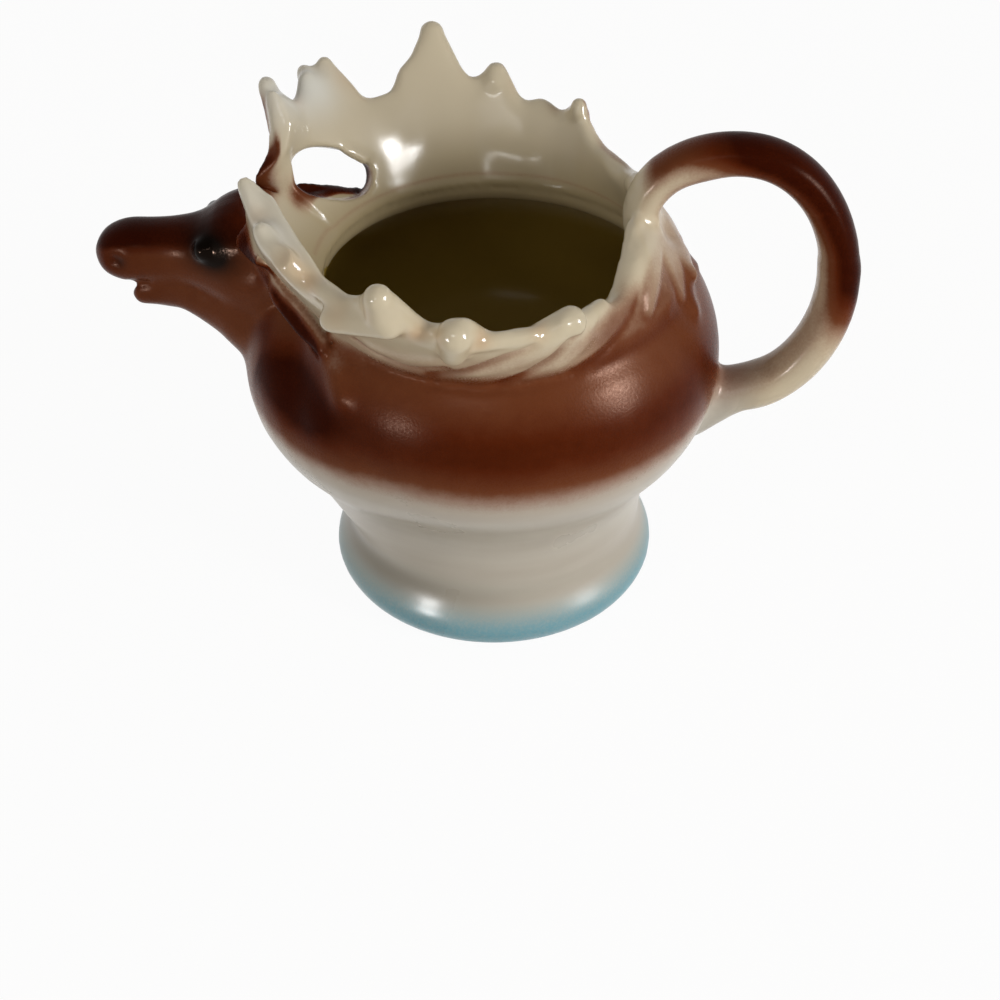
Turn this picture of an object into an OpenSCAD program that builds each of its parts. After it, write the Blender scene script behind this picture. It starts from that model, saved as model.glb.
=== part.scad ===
// Elk creamer, slip-cast and glazed. Units are millimetres.
// Z is up from the table, the elk looks along -X, the handle is at +X,
// and XZ is the plane of symmetry. The elk's left is at -Y.

/* [Foot] */
// Diameter over the foot's rolled rim
foot_d = 56; // [53:0.5:60]
// Radius of the rolled rim
roll_r = 3.6; // [3:0.1:4.2]
// Width of the flat ring that the foot rests on
foot_flat = 2.2; // [1.4:0.1:3]
// Height of the waist, where the foot is luted to the bowl
waist_z = 14; // [12:0.5:16]
// How far the rolled rim stands out from the waist
flare = 2; // [1.4:0.1:3]

/* [Bowl] */
// Largest diameter of the belly
belly_d = 76.2; // [73:0.2:80]
// Height of the largest diameter above the waist
belly_up = 30.5; // [29:0.5:32]
// Radius of the belly's round profile
belly_r = 22; // [20:0.5:24]
// Height above that of the flat rim that the upper pieces are luted to
rim_up = 15; // [13.5:0.5:16]
// Thickness of the cast wall
wall = 3; // [2.4:0.1:3.4]

/* [Head] */
// Reach of the nose beyond the rim
nose_out = 33.8; // [31:0.2:37]
// Height of the muzzle's centre line above the rim
muzzle_up = 1.5; // [1:0.1:2.5]
// Half width of the muzzle
muzzle_w = 5.1; // [4.6:0.1:5.6]
// Height of the crown between the antlers above the rim
crown_up = 13; // [11.5:0.5:14.5]
// How far the chest stands proud of the belly
chest = 4.6; // [3:0.2:6]
// Half width of the crown, where the antlers are luted on
crown_w = 9; // [8:0.2:10]
// Diameter of the spout where it leaves the mouth
spout_d = 6.2; // [5:0.1:6.6]
// Depth of the spout's centre line below the rim, at the mouth
spout_down = 4.7; // [4:0.1:5.4]

/* [Antlers] */
// Height of the tallest tines above the rim
tine_up = 23.5; // [20:0.5:27]
// Reach of the longest tine beyond the rim
tine_out = 12.8; // [10:0.2:15]
// Thickness of the antler's palm
palm_t = 3.8; // [3:0.1:4.4]
// Width of the window behind the ear
window_w = 16.2; // [12:0.2:17]
// Height of the window behind the ear
window_h = 8.6; // [6:0.2:9.4]
// Angle from the handle where antler and handle root meet
seam_a = 28; // [24:1:32]

/* [Ears] */
// Length of an ear
ear_l = 18.4; // [16:0.2:20]
// Height of an ear at its middle
ear_h = 5.2; // [4.2:0.2:6]

/* [Handle] */
// Reach of the handle's centre line beyond the belly
loop_out = 18.3; // [16:0.1:21]
// Height of the handle's centre line above the rim
loop_up = 23.1; // [20:0.1:26]
// Depth of the handle's foot below the belly's largest diameter
loop_down = 7.1; // [5:0.1:9]
// Thickness of the handle in its own plane
strap_t = 6.6; // [5.5:0.1:8]
// Width of the handle across the plane
strap_w = 8.6; // [7:0.1:10]

/* [Hidden] */
$fn = 96;

// Profile of belly and waist: a convex arc that runs tangent into a concave one
belly_c = belly_d/2 - belly_r;
belly_z = waist_z + belly_up;
waist_r = foot_d/2 - flare;
cove_w = waist_r - belly_c;
cove_r = (cove_w*cove_w + belly_up*belly_up - belly_r*belly_r)/(2*(belly_r - cove_w));
cove_a = atan2(belly_up, cove_w + cove_r);
rim_z = belly_z + rim_up;
rim_out = belly_c + sqrt(belly_r*belly_r - rim_up*rim_up);
rim_in = belly_c + sqrt(pow(belly_r - wall, 2) - rim_up*rim_up);
rim_mid = (rim_out + rim_in)/2;
rim_t = rim_out - rim_in;

// Heights and reaches of what stands on the bowl
nose_x = rim_out + nose_out;
muzzle_z = rim_z + muzzle_up;
crown_z = rim_z + crown_up;
spout_z = rim_z - spout_down;
tine_z = rim_z + tine_up;
tine_r = rim_out + tine_out;
loop_x = belly_d/2 + loop_out;
loop_top = rim_z + loop_up;
loop_low = belly_z - loop_down;

// Foot: a flare that runs tangent into the rolled rim
roll_c = foot_d/2 - roll_r;
flare_h = waist_z - roll_r;
flare_w = waist_r - roll_c;
flare_r = (flare_w*flare_w + flare_h*flare_h - roll_r*roll_r)/(2*(roll_r - flare_w));
flare_a = atan2(flare_h, flare_w + flare_r);
foot_in = roll_c - foot_flat - 0.6;

// Curves
function mix(a, b, t) = a + (b - a)*t;
function ease(t) = let(s = max(0, min(1, t))) s*s*(3 - 2*s);
function bend(a, b, c, t) = (1 - t)*(1 - t)*a + 2*t*(1 - t)*b + t*t*c;
function row(rows, i) = rows[max(0, min(len(rows) - 1, i))];
// Smooth curve through the rows, t counts rows
function through(rows, t) =
    let(i = min(floor(t), len(rows) - 2), f = t - i,
        a = row(rows, i - 1), b = rows[i], c = rows[i + 1], d = row(rows, i + 2))
    0.5*(2*b + (c - a)*f + (2*a - 5*b + 4*c - d)*f*f + (3*b - a - 3*c + d)*f*f*f);
// Oval with half width w and half height h, squarer as p grows from 2
function oval(n, w, h, p) = [for (k = [0:n - 1]) let(a = 360*k/n)
    [w*sign(cos(a))*pow(abs(cos(a)), 2/p), h*sign(sin(a))*pow(abs(sin(a)), 2/p)]];
function mean(v) = [for (k = [0:len(v) - 1]) 1]*v/len(v);

// Closed skin over a row of rings, with a fan over each end
module skin(rings) {
    m = len(rings);
    n = len(rings[0]);
    points = concat([for (r = rings) each r], [mean(rings[0]), mean(rings[m - 1])]);
    sides = [for (i = [0:m - 2], k = [0:n - 1]) let(q = (k + 1)%n)
        each [[i*n + k, i*n + q, (i + 1)*n + q], [i*n + k, (i + 1)*n + q, (i + 1)*n + k]]];
    ends = [for (k = [0:n - 1]) let(q = (k + 1)%n)
        each [[m*n, q, k], [m*n + 1, (m - 1)*n + k, (m - 1)*n + q]]];
    polyhedron(points, concat(sides, ends));
}

// Radius of the bowl's outside at height z
function belly(z) = z > belly_z - belly_r*sin(cove_a)
    ? belly_c + sqrt(belly_r*belly_r - pow(z - belly_z, 2))
    : waist_r + cove_r - sqrt(cove_r*cove_r - pow(z - waist_z, 2));
function ring(r, a, z) = [r*cos(a), r*sin(a), z];
// Arc of a profile about [x, z], from angle a to angle b
function arc(c, r, a, b, n) = [for (k = [0:n]) c + r*[cos(mix(a, b, k/n)), sin(mix(a, b, k/n))]];
belly_at = [belly_c, belly_z];
cove_at = [waist_r + cove_r, waist_z];

module bowl_outside() rotate_extrude() polygon(concat(
    [[0, waist_z]],
    arc(cove_at, cove_r, 180, 180 - cove_a + 1, 9),
    arc(belly_at, belly_r, -cove_a, asin(rim_up/belly_r), 18),
    [[0, rim_z]]));

module bowl_inside() rotate_extrude() polygon(concat(
    [[0, waist_z + wall]],
    arc(cove_at, cove_r + wall, 180 - asin(wall/(cove_r + wall)), 180 - cove_a + 1, 7),
    arc(belly_at, belly_r - wall, -cove_a, asin(rim_up/(belly_r - wall)), 16),
    [[rim_in, rim_z + tine_up], [0, rim_z + tine_up]]));

// Straight tapering way from the bowl to the mouth
spout_in = [-rim_mid, 0, spout_z - 1.5];
spout_out = [-nose_x, 0, spout_z];
module spout() {
    way = spout_out - spout_in;
    translate(spout_in) rotate([0, atan2(way[0], way[2]), 0])
        cylinder(h = norm(way), d1 = spout_d*1.6, d2 = spout_d);
}

// The body is cast in one with the chest, so both walls follow the bulge
module bowl() color("sienna") difference() {
    union() {
        bowl_outside();
        chest_form(0);
    }
    bowl_inside();
    chest_form(wall);
    spout();
}

module foot() color("lightsteelblue") rotate_extrude() polygon(concat(
    [[foot_in, waist_z]],
    arc([waist_r + flare_r, waist_z], flare_r, 180, 180 + flare_a - 2, 7),
    arc([roll_c, roll_r], roll_r, flare_a, -90, 10),
    [[roll_c - foot_flat, 0], [foot_in, 0.6]]));

// Head: rows of [x, centre z, half height, half width]
head_rows = [
    [-nose_x, muzzle_z - 0.3, 0.8, 0.8],
    [-nose_x + 0.8, muzzle_z - 0.2, 2.6, 2.4],
    [-nose_x + 2.4, muzzle_z, 4.1, muzzle_w - 1.1],
    [-nose_x + 5.5, muzzle_z + 0.2, 5.1, muzzle_w],
    [-nose_x + 9.5, muzzle_z + 0.3, 5.2, muzzle_w],
    [-nose_x + 14, muzzle_z + 0.4, 5.6, muzzle_w + 0.3],
    [-nose_x + 18, muzzle_z + 0.6, 6.4, muzzle_w + 1.6],
    [-nose_x + 22, muzzle_z + 0.6, crown_z - muzzle_z - 2.1, crown_w - 0.6],
    [-rim_out - 7.8, muzzle_z - 0.2, crown_z - muzzle_z - 0.2, crown_w + 0.8],
    [-rim_out - 2.8, muzzle_z - 1, crown_z - muzzle_z - 0.6, crown_w + 1.6],
    [-rim_in - 0.2, muzzle_z - 1, crown_z - muzzle_z - 2.5, crown_w + 1.6],
    [-rim_in + 5.8, muzzle_z - 1, crown_z - muzzle_z - 4, crown_w + 1]];
// Lower jaw and throat
jaw_rows = [
    [-nose_x + 5.2, spout_z - 0.6, 1, 1.2],
    [-nose_x + 6, spout_z - 0.4, 2.9, 3.2],
    [-nose_x + 8.5, spout_z + 0.2, 3.6, 4.2],
    [-nose_x + 12, spout_z + 0.4, 3.7, 4.4],
    [-nose_x + 15, spout_z, 4.3, 5],
    [-nose_x + 18, spout_z - 0.8, 5.4, 6],
    [-nose_x + 21, spout_z - 1.6, 6.8, 7.4],
    [-belly_d/2 - 3.9, spout_z - 3, 8.6, 9],
    [-belly_d/2 + 2.1, spout_z - 4, 10, 10]];
// Chest over the belly: rows of [z, share of its bulge, half angle]
chest_rows = [
    [waist_z, 0.1, 62],
    [waist_z + 5, 0.7, 70],
    [waist_z + 12, 0.95, 76],
    [belly_z - 9, 0.95, 76],
    [belly_z, 0.85, 70],
    [belly_z + 6, 0.85, 52],
    [belly_z + 11, 1, 34],
    [rim_z, 1.2, 24]];
// Skin that stands proud of the belly, or of its inner face with a wall's depth
module chest_form(depth) {
    rows = [for (s = [0:16]) through(chest_rows, s*(len(chest_rows) - 1)/16)];
    skin([for (r = rows) let(z = mix(r[0], belly_z, depth/40), e = belly(r[0]) - depth) concat(
        [for (k = [10:-1:-10]) ring(e + chest*r[1]*(1.15*cos(9*k) - 0.15), 180 + r[2]*k/10, z)],
        [for (k = [-10:4:10]) ring(e - 5, 180 + r[2]*k/10, z)])]);
}

function slices(rows, steps, n, p) = [for (s = [0:steps]) let(r = through(rows, s*(len(rows) - 1)/steps))
    [for (q = oval(n, r[3], r[2], p)) [r[0], q[0], r[1] + q[1]]]];

module head_form() {
    skin([for (r = slices(head_rows, 26, 22, 2.3)) [for (k = [len(r) - 1:-1:0]) r[k]]]);
    skin([for (r = slices(jaw_rows, 18, 20, 2.2)) [for (k = [len(r) - 1:-1:0]) r[k]]]);
    for (s = [-1, 1]) translate([-nose_x + 19.6, s*(muzzle_w + 0.9), muzzle_z + 4.2])
        sphere(r = 1.9, $fn = 32);
}

module elk_head() color("saddlebrown") difference() {
    head_form();
    bowl_outside();
    chest_form(0);
    translate([0, 0, rim_z]) cylinder(h = crown_up + 1, r1 = rim_in, r2 = rim_in + 15);
    spout();
    for (s = [-1, 1]) {
        translate([-nose_x/2, s*2*crown_w, rim_z + crown_up])
            cube([nose_x, 2*crown_w, 2*crown_up], center = true);
        translate([-nose_x + 3.4, s*(muzzle_w - 0.3), muzzle_z + 0.6]) sphere(r = 1, $fn = 32);
    }
}

// Antlers: rows of [angle, control r, control z, tip r, tip z] from the crown round to the handle
palm_rows = [
    [160, rim_mid + 8.5, rim_z + 7.5, tine_r - 4.8, tine_z + 0.9],
    [148, rim_mid + 5, rim_z + 7.5, tine_r - 3.4, tine_z - 0.3],
    [134, rim_mid + 3.5, rim_z + 7, tine_r - 2.2, tine_z - 1.8],
    [107, rim_mid + 4.5, rim_z + 6, tine_r, tine_z],
    [93, rim_mid + 3.5, rim_z + 5.5, tine_r - 4.2, tine_z - 6.6],
    [68, rim_mid + 2, rim_z + 5, tine_r - 9, tine_z - 9.8],
    [50, rim_mid, rim_z + 5, tine_r - 15.8, tine_z - 14.5],
    [28, rim_mid - 1, rim_z + 5, tine_r - 20, tine_z - 12],
    [0, rim_mid - 1.5, rim_z + 5, tine_r - 22.5, tine_z - 12]];
function palm(a) = let(
        last = len(palm_rows) - 1,
        i = min(last - 1, max([for (k = [0:last]) palm_rows[k][0] >= abs(a) ? k : 0])),
        f = (palm_rows[i][0] - abs(a))/(palm_rows[i][0] - palm_rows[i + 1][0]))
    through(palm_rows, i + min(1, f));

// Rim of the antler: [angle, reach], tines and the dips between them
tines = [
    [159.5, 1], [157, 0.97], [150, 0.88], [143.5, 1], [139.5, 0.95], [136, 1],
    [128, 0.74], [121.5, 0.72], [116, 0.83], [107.5, 1], [100, 0.79], [92, 1],
    [85.5, 0.8], [80, 0.86], [74.5, 0.82], [69, 1], [60, 0.8], [50.5, 1],
    [42, 0.94], [seam_a, 1]];
// The front edge is a beam that sweeps forward and out from its tine down to the crown
function front(a) = ease((a - 148)/10);
function sweep(a, s) = a + 24*pow(1 - s, 1.4)*front(a);
function brow(a, s) = (3.4*exp(-pow((s - 0.47)/0.14, 2)) - 1.7*exp(-pow((s - 0.8)/0.13, 2)))*front(a);

// Point of the sheet: column c of [angle, reach], share v of its reach, side -1 inside to 1 outside,
// share h of the thickness, which grows towards a tine
function sheet(c, v, side, h) =
    let(a = c[0], s = v*c[1], p = palm(a), b = [rim_mid, rim_z], k = [p[1], p[2]], e = [p[3], p[4]],
        q = bend(b, k, e, s) + [brow(a, s), 0], d = 2*(1 - s)*(k - b) + 2*s*(e - k), u = d/norm(d),
        w = ease(s/0.25), n = mix(1, u[1], w), m = mix(0, -u[0], w),
        t = mix(rim_t, palm_t*mix(1, 0.4 + 0.7*c[1], v), ease(s/0.3))*h*side/2)
    ring(q[0] + n*t, sweep(a, s), q[1] + m*t);

// Shares of height and thickness of the rows that make the rounded edge
levels = [
    [0, 1], [0.16, 1], [0.34, 1], [0.52, 1], [0.7, 1], [0.84, 1],
    [0.93, 0.86], [0.98, 0.6], [1, 0.3]];

// Closed sheet between columns [angle, reach]
module sheet_body(columns) {
    n = len(levels);
    skin([for (c = columns) concat(
        [for (l = levels) sheet(c, l[0], -1, l[1])],
        [for (k = [n - 1:-1:0]) sheet(c, levels[k][0], 1, levels[k][1])])]);
}

function columns(rows, steps) = [for (k = [0:len(rows) - 2], s = [0:steps - 1])
    [mix(rows[k][0], rows[k + 1][0], s/steps), mix(rows[k][1], rows[k + 1][1], ease(s/steps))]];

// Window through the palm, above the ear
window_c = [-rim_in - 0.3, crown_w + 6.6, rim_z + 8.2];
module window() translate(window_c) rotate([0, 118, 120]) rotate([0, 0, 18])
    linear_extrude(height = 16, center = true) polygon(oval(28, window_h/2, window_w/2, 2.4));

// Ear: a cupped leaf from the head back along the sill of the window
ear_root = [-rim_out - 4.2, crown_w + 0.2, rim_z + 5.3];
ear_mid = [-rim_mid, crown_w + 7.3, rim_z + 2.7];
ear_tip = ear_root + ear_l*[0.625, 0.747, -0.225];
module ear_form() skin([for (s = [0:14]) let(
        t = s/14, c = bend(ear_root, 2*ear_mid - (ear_root + ear_tip)/2, ear_tip, t),
        r = norm([c[0], c[1]]),
        across = [0.6*c[0]/r, 0.6*c[1]/r, -0.8], out = [0.8*c[0]/r, 0.8*c[1]/r, 0.6],
        w = ear_h/2*(0.3 + 0.7*sin(180*pow(t, 0.8)))*(1 - 0.7*pow(t, 6)), h = 1.5*(1 - 0.7*pow(t, 4)))
    [for (k = [0:15]) let(a = 360*k/16, d = sin(a))
        c - across*w*cos(a) + out*h*d*(d > 0 ? 1 - 0.85*d*d*sin(180*t) : 1)]]);

module antler() difference() {
    sheet_body(concat(columns(tines, 4), [[seam_a, 1]]));
    window();
    ear_form();
    translate([-nose_x, -crown_w, rim_z - 1]) cube([nose_x, 2*crown_w, 2*tine_up]);
}

module right_antler() color("wheat") antler();
module left_antler() color("wheat") mirror([0, 1, 0]) antler();

module ear() difference() {
    ear_form();
    translate([-nose_x, -crown_w, rim_z]) cube([nose_x, 2*crown_w, crown_up]);
}

module right_ear() color("peru") ear();
module left_ear() color("peru") mirror([0, 1, 0]) ear();

// Handle: a loop from the collar over the top and down into the belly
loop_c = [loop_x - 17, (loop_top + loop_low)/2];
function loop(a) = [loop_c[0] + (loop_x - loop_c[0])*cos(a), loop_c[1] + (loop_top - loop_low)/2*sin(a)];
path_rows = concat(
    [[rim_mid, rim_z + 0.5], [rim_mid - 3.4, rim_z + 5.5]],
    [[rim_mid - 6, rim_z + 11], [rim_mid - 4, rim_z + 17.2]],
    [for (a = [115:-20:-65]) loop(a)],
    [[loop_c[0] + 1, loop_low], [rim_out, loop_low - 6]]);
module handle_form() {
    steps = 48;
    last = len(path_rows) - 1;
    skin([for (s = [0:steps]) let(
            t = last*s/steps, q = through(path_rows, t),
            d = through(path_rows, min(last, t + 0.05)) - through(path_rows, max(0, t - 0.05)),
            u = d/norm(d), swell = 1 + 0.25*ease((s - steps + 8)/8))
        [for (p = oval(16, strap_w/2*swell, strap_t/2*swell, 2.2))
            [q[0] - u[1]*p[1], -p[0], q[1] + u[0]*p[1]]]]);
}

// Toes of the palmate root that grips the shoulder: [angle, height of the tip]
toes = [[-28, rim_z + 0.8], [-12, rim_z - 2.4], [12, rim_z - 2.4], [28, rim_z + 0.8]];
root_z = rim_z + 7;
function collar(z) = z > rim_z ? rim_out - 0.8*(z - rim_z) : belly(z);
module toe(a, tip_z) skin([for (s = [0:8]) let(
        t = s/8, z = mix(root_z, tip_z, t), b = a*mix(0.3, 1, t),
        w = mix(3.4, 1.2, t), h = mix(1.7, 0.9, t), r = collar(z) + 0.2*h)
    [for (k = [0:9]) let(c = 36*k) ring(r + h*sin(c), b - w*cos(c)/r*57.3, z + 0.6*h*sin(c))]]);

module handle() color("rosybrown") difference() {
    union() {
        handle_form();
        sheet_body([for (k = [0:12]) [mix(seam_a, -seam_a, k/12), 1]]);
        for (t = toes) toe(t[0], t[1]);
    }
    bowl_outside();
}

bowl();
foot();
elk_head();
left_antler();
right_antler();
left_ear();
right_ear();
handle();
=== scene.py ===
import math
import bpy
import numpy as np
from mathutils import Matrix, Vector
from mathutils.bvhtree import BVHTree
from mathutils.interpolate import poly_3d_calc
from mathutils.kdtree import KDTree


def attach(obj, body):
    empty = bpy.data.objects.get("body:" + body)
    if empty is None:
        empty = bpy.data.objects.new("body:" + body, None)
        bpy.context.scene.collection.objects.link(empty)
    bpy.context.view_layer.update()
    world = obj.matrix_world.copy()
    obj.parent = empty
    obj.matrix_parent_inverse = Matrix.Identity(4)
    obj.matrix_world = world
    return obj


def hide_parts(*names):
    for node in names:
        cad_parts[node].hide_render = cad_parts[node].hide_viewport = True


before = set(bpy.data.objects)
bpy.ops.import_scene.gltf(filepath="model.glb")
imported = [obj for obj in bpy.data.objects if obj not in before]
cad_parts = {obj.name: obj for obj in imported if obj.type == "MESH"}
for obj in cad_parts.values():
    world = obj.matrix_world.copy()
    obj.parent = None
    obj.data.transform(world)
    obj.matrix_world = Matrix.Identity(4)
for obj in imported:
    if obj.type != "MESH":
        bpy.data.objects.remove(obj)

scene = bpy.context.scene
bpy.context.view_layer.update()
scene.view_settings.view_transform = "Standard"
mm = 0.001


def pick(*objs):
    bpy.ops.object.select_all(action="DESELECT")
    for obj in objs:
        obj.select_set(True)
    bpy.context.view_layer.objects.active = objs[0]


def applyAll(obj):
    pick(obj)
    for name in [m.name for m in obj.modifiers]:
        bpy.ops.object.modifier_apply(modifier=name)


# camera, fitted to the foot, belly and throat rings of the photograph
view = {"at": (19.975, -285.968, 241.995), "down": 38.870, "turn": 3.778, "lens": 73.854}
bpy.ops.object.camera_add(
    location=[v * mm for v in view["at"]],
    rotation=(math.radians(90 - view["down"]), 0, math.radians(view["turn"])))
camera = bpy.context.object
camera.data.lens = view["lens"]
camera.data.sensor_width = 36
camera.data.clip_start = 0.01
scene.camera = camera
print("camera set")


# the raw castings, stuck together and gone over with a wet sponge
clayWork = {
    "voxel": 0.00055, "slip": 0.00008, "sponge": 9, "broad": 24, "collar": 14, "strap": 10,
    "strapLift": 1.0, "loop": 26, "loopSwell": 0.45, "toeHeight": 0.5}
slots = {
    "bowl": "body_glaze", "foot": "foot_glaze", "elk_head": "head_glaze",
    "left_antler": "antler_glaze", "right_antler": "antler_glaze",
    "left_ear": "ear_glaze", "right_ear": "ear_glaze", "handle": "handle_glaze"}
castings = []
for nodeName in slots:
    casting = bpy.data.objects.new("clay_" + nodeName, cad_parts[nodeName].data.copy())
    scene.collection.objects.link(casting)
    pick(casting)
    bpy.ops.object.mode_set(mode="EDIT")
    bpy.ops.mesh.select_all(action="SELECT")
    bpy.ops.mesh.remove_doubles(threshold=1e-6)
    bpy.ops.transform.shrink_fatten(value=clayWork["slip"])
    bpy.ops.object.mode_set(mode="OBJECT")
    castings.append(casting)


def points(obj):
    co = np.empty(len(obj.data.vertices) * 3, np.float32)
    obj.data.vertices.foreach_get("co", co)
    return co.reshape(-1, 3).astype(float) / mm


def facing(obj):
    no = np.empty(len(obj.data.vertices) * 3, np.float32)
    obj.data.vertex_normals.foreach_get("vector", no)
    return no.reshape(-1, 3).astype(float)


def setPoints(obj, co):
    obj.data.vertices.foreach_set("co", (co * mm).astype(np.float32).ravel())
    obj.data.update()


def cutWith(obj, tool, kind):
    knife = obj.modifiers.new("cut", "BOOLEAN")
    knife.operation = kind
    knife.solver = "MANIFOLD"
    knife.object = tool
    applyAll(obj)


def lute(objs):
    whole = objs[0]
    for other in objs[1:]:
        cutWith(whole, other, "UNION")
        bpy.data.objects.remove(other)
    return whole


def roll(start, end, thin, thick):
    start, end = Vector(start), Vector(end)
    bpy.ops.mesh.primitive_uv_sphere_add(segments=24, ring_count=12, radius=mm)
    made = bpy.context.object
    ball = points(made)
    upper = ball[:, 2] > 0
    ball = ball * np.where(upper, thick, thin)[:, None]
    ball[:, 2] += np.where(upper, (end - start).length, 0)
    turn = (end - start).to_track_quat("Z", "Y")
    turned = np.array([turn @ Vector(p) + start for p in ball])
    setPoints(made, turned)
    return made


# pressed-on clay, given for the elk's left: start, end, the two radii, and the sides that have it
bothSides = (-1, 1)
nearSide = (-1,)
farSide = (1,)
pressed = [
    ((-34.3, -14.6, 79.3), (-31.6, -19.4, 77.6), 1.9, 2.3, nearSide),
    ((-31.6, -19.4, 77.6), (-28.4, -24.6, 76.4), 2.3, 2.3, nearSide),
    ((-28.4, -24.6, 76.4), (-24.6, -29.8, 75.0), 2.3, 1.9, nearSide),
    ((-24.6, -29.8, 75.0), (-19.1, -36.4, 75.6), 1.9, 1.7, nearSide),
    ((-36.2, -14.6, 75.6), (-38.7, -18.1, 82.2), 2.2, 1.9, farSide),
    ((-31.0, -26.8, 76.5), (-30.8, -29.4, 80.6), 2.4, 1.7, farSide),
    ((-31.8, -25.0, 76.0), (-33.9, -27.2, 80.3), 2.6, 1.7, farSide),
    ((-33.2, -20.4, 78.0), (-34.2, -21.4, 79.0), 1.7, 1.2, nearSide),
    ((-30.4, -24.4, 76.6), (-31.1, -25.4, 78.0), 1.9, 1.3, nearSide),
    ((-27.6, -27.8, 76.2), (-27.6, -29.0, 77.0), 1.6, 1.3, nearSide),
    ((-21.2, -36.0, 73.0), (-12.6, -40.6, 75.8), 2.2, 2.7, nearSide),
    ((-41.0, -7.9, 60.2), (-35.6, -9.6, 60.8), 1.7, 1.9, bothSides),
    ((-57.0, -2.8, 56.2), (-48.6, -4.0, 56.2), 1.3, 1.7, bothSides),
    ((-35.2, -10.8, 72.6), (-34.6, -10.2, 68.6), 1.0, 1.1, bothSides),
    ((-26.4, -20.6, 69.4), (-23.6, -21.8, 67.0), 1.0, 1.1, bothSides),
    ((-13.4, -40.6, 77.0), (-13.6, -42.0, 80.9), 2.6, 2.3, bothSides),
    ((-2.8, -40.2, 73.6), (-3.2, -38.6, 69.8), 2.9, 2.3, nearSide),
    ((-2.4, -38.6, 73.6), (-2.2, -39.6, 75.0), 2.4, 2.0, farSide),
    ((-0.5, -38.8, 71.4), (8.2, -35.4, 71.0), 1.5, 1.5, nearSide),
    ((9.3, -33.9, 69.9), (13.6, -31.8, 71.2), 2.2, 2.7, nearSide),
    ((12.6, -31.6, 72.0), (12.6, -32.0, 73.0), 1.7, 1.6, farSide),
    ((15.5, -28.8, 69.6), (18.2, -24.0, 69.2), 1.7, 1.5, nearSide),
    ((22.6, -5.0, 72.0), (21.8, -12.4, 69.8), 1.3, 1.4, nearSide),
    ((21.8, -12.4, 69.8), (19.4, -20.2, 66.8), 1.4, 0.9, nearSide),
    ((30.6, -4.4, 63.6), (32.6, -2.9, 61.9), 1.0, 1.4, nearSide),
    ((27.4, -10.4, 65.0), (28.8, -10.2, 63.0), 0.8, 1.1, nearSide),
    ((-35.2, -12.2, 64.2), (-33.2, -15.2, 62.4), 1.1, 1.3, bothSides),
    ((-33.2, -15.2, 62.4), (-29.4, -19.2, 59.6), 1.3, 1.3, bothSides),
    ((-29.4, -19.2, 59.6), (-25.2, -23.2, 58.2), 1.3, 0.9, bothSides),
    ((-34.4, -13.2, 66.2), (-32.0, -15.6, 64.8), 0.9, 1.0, bothSides),
    ((-32.0, -15.6, 64.8), (-28.6, -18.9, 62.8), 1.0, 1.0, bothSides),
    ((-28.6, -18.9, 62.8), (-25.0, -22.9, 59.4), 1.0, 0.8, bothSides),
    ((-58.8, -0.2, 53.0), (-58.6, -2.4, 54.2), 1.5, 1.6, bothSides),
    ((-58.4, -1.6, 53.0), (-49.0, -2.4, 52.6), 1.2, 1.5, bothSides)]
rolls = []
for start, end, thin, thick, sides in pressed:
    for side in sides:
        there = [(p[0], -side * p[1], p[2]) for p in (start, end)]
        rolls.append(roll(*there, thin, thick))

# the throat goes straight down a little way before it opens
throatRing = {"middle": 29.75, "thick": 2.05, "height": 57.5}
bpy.ops.mesh.primitive_torus_add(
    major_radius=throatRing["middle"] * mm, minor_radius=throatRing["thick"] * mm,
    major_segments=128, minor_segments=24, location=(0, 0, throatRing["height"] * mm))
bpy.ops.object.transform_apply(location=True)
castings.append(bpy.context.object)
castings.append(lute(rolls))
clay = lute(castings)
# the near antler's second tine is short
bites = [((-30.9, -30.4, 81.2), 3.3), ((-32.4, -27.4, 82.4), 2.6)]
for middle, size in bites:
    bite = roll(middle, (middle[0], middle[1], middle[2] + 0.5), size, size)
    cutWith(clay, bite, "DIFFERENCE")
    bpy.data.objects.remove(bite)
clay.name = "clay"
slip = clay.modifiers.new("slip", "REMESH")
slip.mode = "VOXEL"
slip.voxel_size = clayWork["voxel"]
applyAll(clay)
pick(clay)
bpy.ops.object.mode_set(mode="EDIT")
bpy.ops.mesh.select_all(action="SELECT")
bpy.ops.transform.shrink_fatten(value=-clayWork["slip"])
bpy.ops.object.mode_set(mode="OBJECT")
print("castings luted", len(clay.data.vertices))


def sponge(obj, mask, rounds, back=-0.53):
    pick(obj)
    obj.data.polygons.foreach_set("select", np.zeros(len(obj.data.polygons), bool))
    obj.data.edges.foreach_set("select", np.zeros(len(obj.data.edges), bool))
    obj.data.vertices.foreach_set("select", mask)
    bpy.ops.object.mode_set(mode="EDIT")
    bpy.ops.mesh.select_mode(type="VERT")
    for _ in range(rounds):
        bpy.ops.mesh.vertices_smooth(factor=0.5)
        if back:
            bpy.ops.mesh.vertices_smooth(factor=back)
    bpy.ops.object.mode_set(mode="OBJECT")


def rise(v, low, high):
    t = np.clip((v - low) / (high - low), 0, 1)
    return t * t * (3 - 2 * t)


def toPath(co, path):
    path = np.array(path, float)
    if len(path) == 1:
        return np.linalg.norm(co - path[0], axis=1)
    best = np.full(len(co), 1e9)
    for a, b in zip(path[:-1], path[1:]):
        d = b - a
        t = np.clip(((co - a) @ d) / (d @ d), 0, 1)
        best = np.minimum(best, np.linalg.norm(co - a - t[:, None] * d, axis=1))
    return best


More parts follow.
